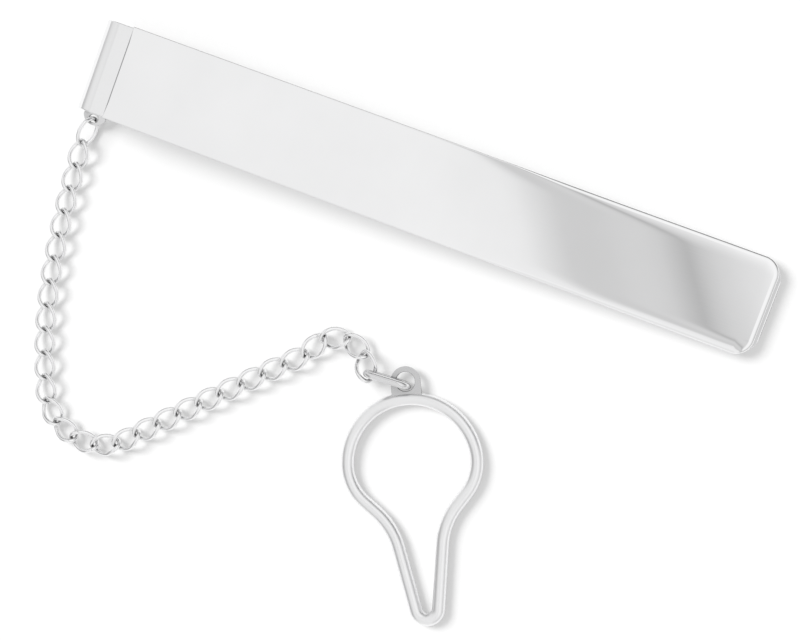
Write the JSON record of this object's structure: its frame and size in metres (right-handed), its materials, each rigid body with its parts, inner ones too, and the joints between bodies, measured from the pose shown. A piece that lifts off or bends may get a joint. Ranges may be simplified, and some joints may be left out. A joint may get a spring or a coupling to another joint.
{
  "type": "tie clip with chain",
  "caption": "Polished tie clip: a flat bar on a folded spring strip, with a fine curb chain from the fold to a wire keyhole loop that goes over a shirt button.",
  "frame": {"origin": "on the tongue's resting face, under the middle of the bar", "axes": "+X along the bar to its free end, +Y across the bar away from the chain, +Z out of the front plate"},
  "size_m": [0.0599, 0.0378, 0.0041],
  "materials": {
    "plate_metal": "polished",
    "strip_metal": "polished",
    "chain_metal": "polished",
    "loop_metal": "polished"
  },
  "bodies": {
    "strip": {"spring_strip": "strip_metal", "chain_lug": "strip_metal"},
    "plate": {"front_plate": "plate_metal"},
    "lug_ring": {"lug_ring": "chain_metal"},
    "chain_link_01": {"chain_link_01": "chain_metal"},
    "chain_link_02": {"chain_link_02": "chain_metal"},
    "chain_link_03": {"chain_link_03": "chain_metal"},
    "chain_link_04": {"chain_link_04": "chain_metal"},
    "chain_link_05": {"chain_link_05": "chain_metal"},
    "chain_link_06": {"chain_link_06": "chain_metal"},
    "chain_link_07": {"chain_link_07": "chain_metal"},
    "chain_link_08": {"chain_link_08": "chain_metal"},
    "chain_link_09": {"chain_link_09": "chain_metal"},
    "chain_link_10": {"chain_link_10": "chain_metal"},
    "chain_link_11": {"chain_link_11": "chain_metal"},
    "chain_link_12": {"chain_link_12": "chain_metal"},
    "chain_link_13": {"chain_link_13": "chain_metal"},
    "chain_link_14": {"chain_link_14": "chain_metal"},
    "chain_link_15": {"chain_link_15": "chain_metal"},
    "chain_link_16": {"chain_link_16": "chain_metal"},
    "chain_link_17": {"chain_link_17": "chain_metal"},
    "chain_link_18": {"chain_link_18": "chain_metal"},
    "chain_link_19": {"chain_link_19": "chain_metal"},
    "chain_link_20": {"chain_link_20": "chain_metal"},
    "chain_link_21": {"chain_link_21": "chain_metal"},
    "chain_link_22": {"chain_link_22": "chain_metal"},
    "chain_link_23": {"chain_link_23": "chain_metal"},
    "chain_link_24": {"chain_link_24": "chain_metal"},
    "chain_link_25": {"chain_link_25": "chain_metal"},
    "chain_link_26": {"chain_link_26": "chain_metal"},
    "chain_link_27": {"chain_link_27": "chain_metal"},
    "chain_link_28": {"chain_link_28": "chain_metal"},
    "end_ring": {"end_ring": "chain_metal"},
    "loop": {"button_loop": "loop_metal", "loop_eye": "loop_metal"}
  },
  "joints": [
    {"name": "clip_open", "type": "hinge", "parent": "strip", "child": "plate", "pos_m": [-0.02665, 0, 0.00332], "axis": [0, -1, 0], "range_deg": [0, 3], "stiffness_Nm_per_rad": 0.5, "springref_deg": -2.86},
    {"name": "lug_ring_swing", "type": "hinge", "parent": "strip", "child": "lug_ring", "pos_m": [-0.02873, -0.00438, 0.0009], "axis": [1, 0, 0], "range_deg": [-14, 14]},
    {"name": "link_01_swing", "type": "hinge", "parent": "lug_ring", "child": "chain_link_01", "pos_m": [-0.02911, -0.00686, 0.0009], "axis": [0.4944, -0.0748, -0.866], "range_deg": [-12, 25]},
    {"name": "link_02_swing", "type": "hinge", "parent": "chain_link_01", "child": "chain_link_02", "pos_m": [-0.02899, -0.00846, 0.0007], "axis": [0.7052, 0.0518, 0.7071], "range_deg": [-25, 12]},
    {"name": "link_03_swing", "type": "hinge", "parent": "chain_link_02", "child": "chain_link_03", "pos_m": [-0.02881, -0.01096, 0.0007], "axis": [-0.7052, -0.0518, 0.7071], "range_deg": [-25, 12]},
    {"name": "link_04_swing", "type": "hinge", "parent": "chain_link_03", "child": "chain_link_04", "pos_m": [-0.02865, -0.01257, 0.0007], "axis": [-0.7015, -0.0886, -0.7071], "range_deg": [-22, 25]},
    {"name": "link_05_swing", "type": "hinge", "parent": "chain_link_04", "child": "chain_link_05", "pos_m": [-0.02833, -0.01506, 0.0007], "axis": [0.7015, 0.0886, -0.7071], "range_deg": [-25, 25]},
    {"name": "link_06_swing", "type": "hinge", "parent": "chain_link_05", "child": "chain_link_06", "pos_m": [-0.02809, -0.01665, 0.0007], "axis": [0.6959, 0.1252, 0.7071], "range_deg": [-25, 25]},
    {"name": "link_07_swing", "type": "hinge", "parent": "chain_link_06", "child": "chain_link_07", "pos_m": [-0.02765, -0.01912, 0.0007], "axis": [-0.6959, -0.1252, 0.7071], "range_deg": [-25, 25]},
    {"name": "link_08_swing", "type": "hinge", "parent": "chain_link_07", "child": "chain_link_08", "pos_m": [-0.02728, -0.02069, 0.0007], "axis": [-0.679, -0.1973, -0.7071], "range_deg": [-25, 25]},
    {"name": "link_09_swing", "type": "hinge", "parent": "chain_link_08", "child": "chain_link_09", "pos_m": [-0.02658, -0.0231, 0.0007], "axis": [0.679, 0.1973, -0.7071], "range_deg": [-25, 25]},
    {"name": "link_10_swing", "type": "hinge", "parent": "chain_link_09", "child": "chain_link_10", "pos_m": [-0.02605, -0.02462, 0.0007], "axis": [0.6547, 0.2672, 0.7071], "range_deg": [-25, 25]},
    {"name": "link_11_swing", "type": "hinge", "parent": "chain_link_10", "child": "chain_link_11", "pos_m": [-0.0251, -0.02694, 0.0007], "axis": [-0.6547, -0.2672, 0.7071], "range_deg": [-25, 25]},
    {"name": "link_12_swing", "type": "hinge", "parent": "chain_link_11", "child": "chain_link_12", "pos_m": [-0.02448, -0.02844, 0.0007], "axis": [-0.4777, -0.5213, -0.7071], "range_deg": [-25, 25]},
    {"name": "link_13_swing", "type": "hinge", "parent": "chain_link_12", "child": "chain_link_13", "pos_m": [-0.02263, -0.03013, 0.0007], "axis": [0.4777, 0.5213, -0.7071], "range_deg": [-25, 25]},
    {"name": "link_14_swing", "type": "hinge", "parent": "chain_link_13", "child": "chain_link_14", "pos_m": [-0.0211, -0.03069, 0.0007], "axis": [-0.0259, 0.7066, 0.7071], "range_deg": [-25, 25]},
    {"name": "link_15_swing", "type": "hinge", "parent": "chain_link_14", "child": "chain_link_15", "pos_m": [-0.01859, -0.0306, 0.0007], "axis": [0.0259, -0.7066, 0.7071], "range_deg": [-25, 25]},
    {"name": "link_16_swing", "type": "hinge", "parent": "chain_link_15", "child": "chain_link_16", "pos_m": [-0.01711, -0.02993, 0.0007], "axis": [0.5146, -0.4849, -0.7071], "range_deg": [-25, 25]},
    {"name": "link_17_swing", "type": "hinge", "parent": "chain_link_16", "child": "chain_link_17", "pos_m": [-0.01539, -0.0281, 0.0007], "axis": [-0.5146, 0.4849, -0.7071], "range_deg": [-25, 25]},
    {"name": "link_18_swing", "type": "hinge", "parent": "chain_link_17", "child": "chain_link_18", "pos_m": [-0.01428, -0.02694, 0.0007], "axis": [-0.5095, 0.4903, 0.7071], "range_deg": [-25, 25]},
    {"name": "link_19_swing", "type": "hinge", "parent": "chain_link_18", "child": "chain_link_19", "pos_m": [-0.01254, -0.02513, 0.0007], "axis": [0.5095, -0.4903, 0.7071], "range_deg": [-25, 25]},
    {"name": "link_20_swing", "type": "hinge", "parent": "chain_link_19", "child": "chain_link_20", "pos_m": [-0.01142, -0.02397, 0.0007], "axis": [0.5043, -0.4956, -0.7071], "range_deg": [-25, 25]},
    {"name": "link_21_swing", "type": "hinge", "parent": "chain_link_20", "child": "chain_link_21", "pos_m": [-0.00966, -0.02218, 0.0007], "axis": [-0.5043, 0.4956, -0.7071], "range_deg": [-25, 25]},
    {"name": "link_22_swing", "type": "hinge", "parent": "chain_link_21", "child": "chain_link_22", "pos_m": [-0.00852, -0.02104, 0.0007], "axis": [-0.4991, 0.5009, 0.7071], "range_deg": [-25, 25]},
    {"name": "link_23_swing", "type": "hinge", "parent": "chain_link_22", "child": "chain_link_23", "pos_m": [-0.00674, -0.01927, 0.0007], "axis": [0.4991, -0.5009, 0.7071], "range_deg": [-25, 25]},
    {"name": "link_24_swing", "type": "hinge", "parent": "chain_link_23", "child": "chain_link_24", "pos_m": [-0.0056, -0.01814, 0.0007], "axis": [0.4939, -0.5061, -0.7071], "range_deg": [-25, 25]},
    {"name": "link_25_swing", "type": "hinge", "parent": "chain_link_24", "child": "chain_link_25", "pos_m": [-0.0038, -0.01639, 0.0007], "axis": [-0.4939, 0.5061, -0.7071], "range_deg": [-25, 25]},
    {"name": "link_26_swing", "type": "hinge", "parent": "chain_link_25", "child": "chain_link_26", "pos_m": [-0.00326, -0.01482, 0.0007], "axis": [-0.2569, 0.6588, 0.7071], "range_deg": [-15, 25]},
    {"name": "link_27_swing", "type": "hinge", "parent": "chain_link_26", "child": "chain_link_27", "pos_m": [-0.00092, -0.01391, 0.0007], "axis": [0.2569, -0.6588, 0.7071], "range_deg": [-15, 25]},
    {"name": "link_28_swing", "type": "hinge", "parent": "chain_link_27", "child": "chain_link_28", "pos_m": [0.00064, -0.01448, 0.00084], "axis": [-0.5701, -0.4326, -0.6984], "range_deg": [-25, 15]},
    {"name": "end_ring_swing", "type": "hinge", "parent": "chain_link_28", "child": "end_ring", "pos_m": [0.0015, -0.01608, 0.00105], "axis": [0, 0, 1], "range_deg": [-25, 25]},
    {"name": "loop_swing", "type": "hinge", "parent": "end_ring", "child": "loop", "pos_m": [0.00509, -0.0158, 0.00105], "axis": [0, 0, 1], "range_deg": [-20, 45]}
  ]
}
